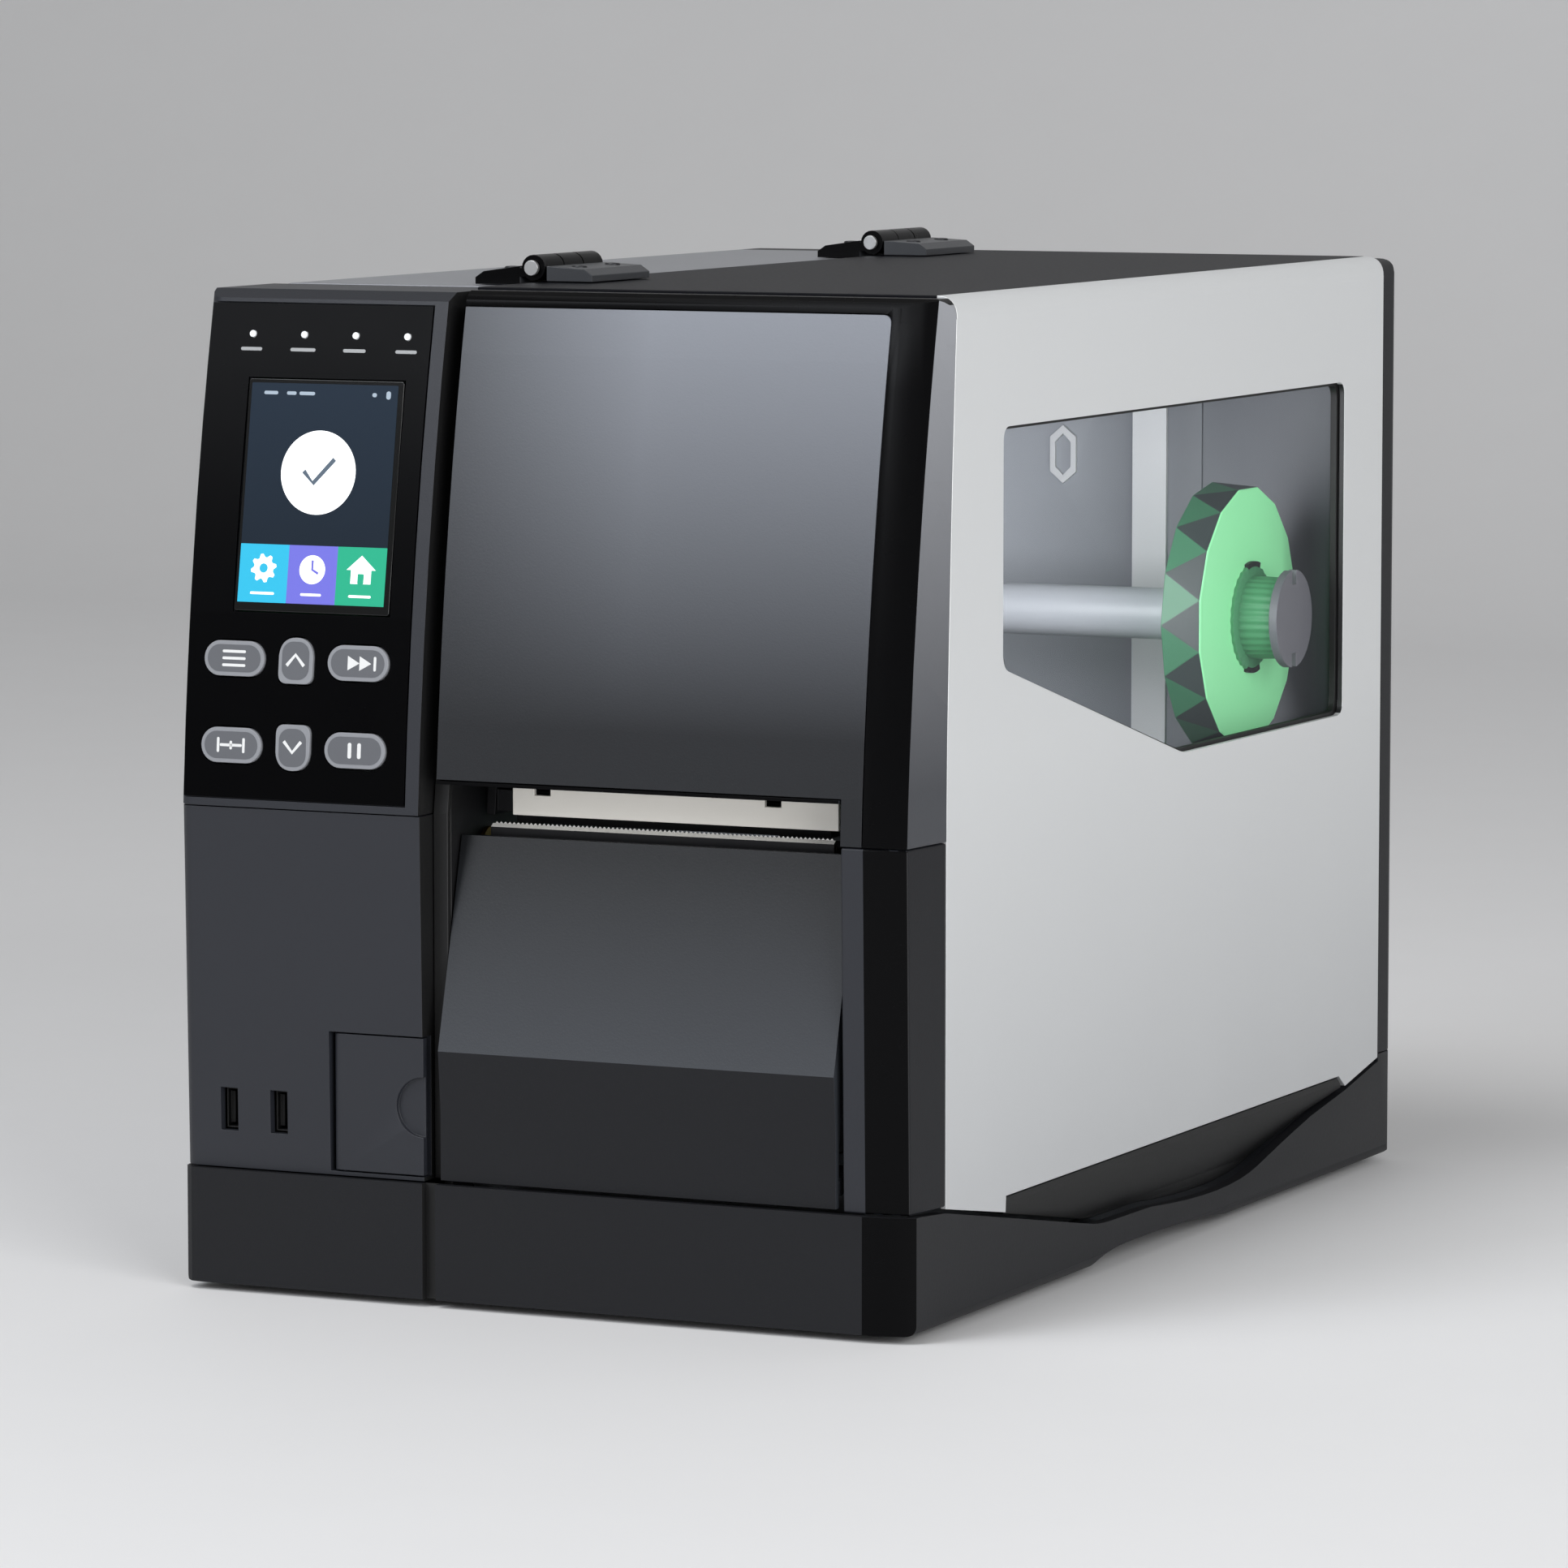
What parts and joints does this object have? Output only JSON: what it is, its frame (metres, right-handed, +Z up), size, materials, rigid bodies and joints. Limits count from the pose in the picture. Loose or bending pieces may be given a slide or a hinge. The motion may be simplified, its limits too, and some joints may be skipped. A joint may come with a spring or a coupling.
{
  "type": "label printer",
  "caption": "Bench-top thermal label printer with a clamshell media door, side window, colour screen and keys, label exit and tear bar at the front.",
  "frame": {"origin": "middle of the footprint, on the surface that the feet stand on", "axes": "+X to the operator's right, +Y from the front to the rear, +Z up"},
  "size_m": [0.257, 0.42, 0.3305],
  "materials": {
    "charcoal_plastic": "fine satin texture",
    "gloss_black": "high gloss",
    "silver_paint": "satin powder coat",
    "door_top_paint": "semi-gloss",
    "cover_paint": "satin powder coat",
    "smoke_window": "clear tinted sheet",
    "rubber": "matt",
    "steel": "brushed",
    "zinc": "zinc plate",
    "grey_plastic": "matt",
    "key_plastic": "satin",
    "green_plastic": "satin",
    "screen": "gloss",
    "light_pipe": "clear, lit from behind",
    "board": "solder mask",
    "brass": "turned",
    "head_metal": "satin"
  },
  "bodies": {
    "cabinet": {"base_frame": "charcoal_plastic", "foot_front_left": "rubber", "foot_front_right": "rubber", "foot_rear_left": "rubber", "foot_rear_right": "rubber", "bay_wall": "zinc", "front_seam_strip": "rubber", "electronics_cover": "cover_paint", "rear_cover": "charcoal_plastic", "bay_lining": "grey_plastic", "control_housing": "charcoal_plastic", "control_overlay": "gloss_black", "display_module": "screen", "status_light_pipe": "light_pipe", "control_board": "board", "front_left_cover": "charcoal_plastic", "usb_ports": "steel", "front_right_column": "charcoal_plastic", "front_hinge_fixed_leaf": "charcoal_plastic", "rear_hinge_fixed_leaf": "charcoal_plastic", "front_hinge_pin": "steel", "rear_hinge_pin": "steel", "mechanism_frame": "zinc", "tear_bar": "steel", "platen_bearing_left": "brass", "platen_bearing_right": "brass", "drive_motor": "steel", "label_sensor": "rubber", "media_hanger": "grey_plastic", "power_supply": "zinc", "main_board": "board", "mains_inlet": "rubber", "switch_bezel": "rubber"},
    "media_door": {"door_front_frame": "gloss_black", "door_front_panel": "charcoal_plastic", "door_side_panel": "silver_paint", "door_liner": "charcoal_plastic", "door_window": "smoke_window", "door_top_panel": "door_top_paint", "door_grip": "gloss_black", "front_hinge_door_leaf": "charcoal_plastic", "rear_hinge_door_leaf": "charcoal_plastic"},
    "label_door": {"label_door": "charcoal_plastic"},
    "access_door": {"access_door": "charcoal_plastic"},
    "platen": {"platen_shaft": "steel", "platen_roller": "rubber"},
    "motor_pinion": {"motor_pinion": "brass"},
    "print_head": {"head_carriage": "head_metal", "head_cover_plate": "head_metal"},
    "head_lever": {"head_lever": "green_plastic"},
    "media_guide": {"media_guide": "green_plastic"},
    "power_switch": {"power_switch": "rubber"},
    "key_menu": {"button_menu": "key_plastic"},
    "key_up": {"button_up": "key_plastic"},
    "key_feed": {"button_feed": "key_plastic"},
    "key_calibrate": {"button_calibrate": "key_plastic"},
    "key_down": {"button_down": "key_plastic"},
    "key_pause": {"button_pause": "key_plastic"}
  },
  "joints": [
    {"name": "media_door_hinge", "type": "hinge", "parent": "cabinet", "child": "media_door", "pos_m": [-0.038, 0, 0.3263], "axis": [0, -1, 0], "range_deg": [0, 135]},
    {"name": "label_door_hinge", "type": "hinge", "parent": "cabinet", "child": "label_door", "pos_m": [0.034, -0.203, 0.047], "axis": [1, 0, 0], "range_deg": [0, 90]},
    {"name": "access_door_hinge", "type": "hinge", "parent": "cabinet", "child": "access_door", "pos_m": [-0.0712, -0.205, 0.0635], "axis": [0, 0, -1], "range_deg": [0, 95]},
    {"name": "platen_spin", "type": "hinge", "parent": "cabinet", "child": "platen", "pos_m": [0, -0.173, 0.1425], "axis": [1, 0, 0], "continuous": true},
    {"name": "motor_spin", "type": "hinge", "parent": "cabinet", "child": "motor_pinion", "pos_m": [-0.047, -0.1649, 0.131], "axis": [1, 0, 0], "continuous": true},
    {"name": "head_lift", "type": "hinge", "parent": "cabinet", "child": "print_head", "pos_m": [0.03, -0.094, 0.1765], "axis": [-1, 0, 0], "range_deg": [0, 18]},
    {"name": "head_lever_turn", "type": "hinge", "parent": "cabinet", "child": "head_lever", "pos_m": [0.1, -0.118, 0.1925], "axis": [-1, 0, 0], "range_deg": [0, 90]},
    {"name": "media_guide_slide", "type": "slide", "parent": "cabinet", "child": "media_guide", "axis": [1, 0, 0], "range_m": [-0.1, 0]},
    {"name": "power_switch_rock", "type": "hinge", "parent": "cabinet", "child": "power_switch", "pos_m": [-0.072, 0.204, 0.0665], "axis": [-1, 0, 0], "range_deg": [0, 16]},
    {"name": "menu_press", "type": "slide", "parent": "cabinet", "child": "key_menu", "axis": [0, 0.9943, -0.1064], "range_m": [0, 0.0008], "stiffness_N_per_m": 400, "springref_m": -0.0008},
    {"name": "up_press", "type": "slide", "parent": "cabinet", "child": "key_up", "axis": [0, 0.9943, -0.1064], "range_m": [0, 0.0008], "stiffness_N_per_m": 400, "springref_m": -0.0008},
    {"name": "feed_press", "type": "slide", "parent": "cabinet", "child": "key_feed", "axis": [0, 0.9943, -0.1064], "range_m": [0, 0.0008], "stiffness_N_per_m": 400, "springref_m": -0.0008},
    {"name": "calibrate_press", "type": "slide", "parent": "cabinet", "child": "key_calibrate", "axis": [0, 0.9969, -0.0793], "range_m": [0, 0.0008], "stiffness_N_per_m": 400, "springref_m": -0.0008},
    {"name": "down_press", "type": "slide", "parent": "cabinet", "child": "key_down", "axis": [0, 0.9969, -0.0793], "range_m": [0, 0.0008], "stiffness_N_per_m": 400, "springref_m": -0.0008},
    {"name": "pause_press", "type": "slide", "parent": "cabinet", "child": "key_pause", "axis": [0, 0.9969, -0.0793], "range_m": [0, 0.0008], "stiffness_N_per_m": 400, "springref_m": -0.0008}
  ],
  "couplings": [
    {"joint": "motor_spin", "follows": "platen_spin", "ratio": -1.3333},
    {"joint": "head_lever_turn", "follows": "head_lift", "ratio": 5}
  ]
}
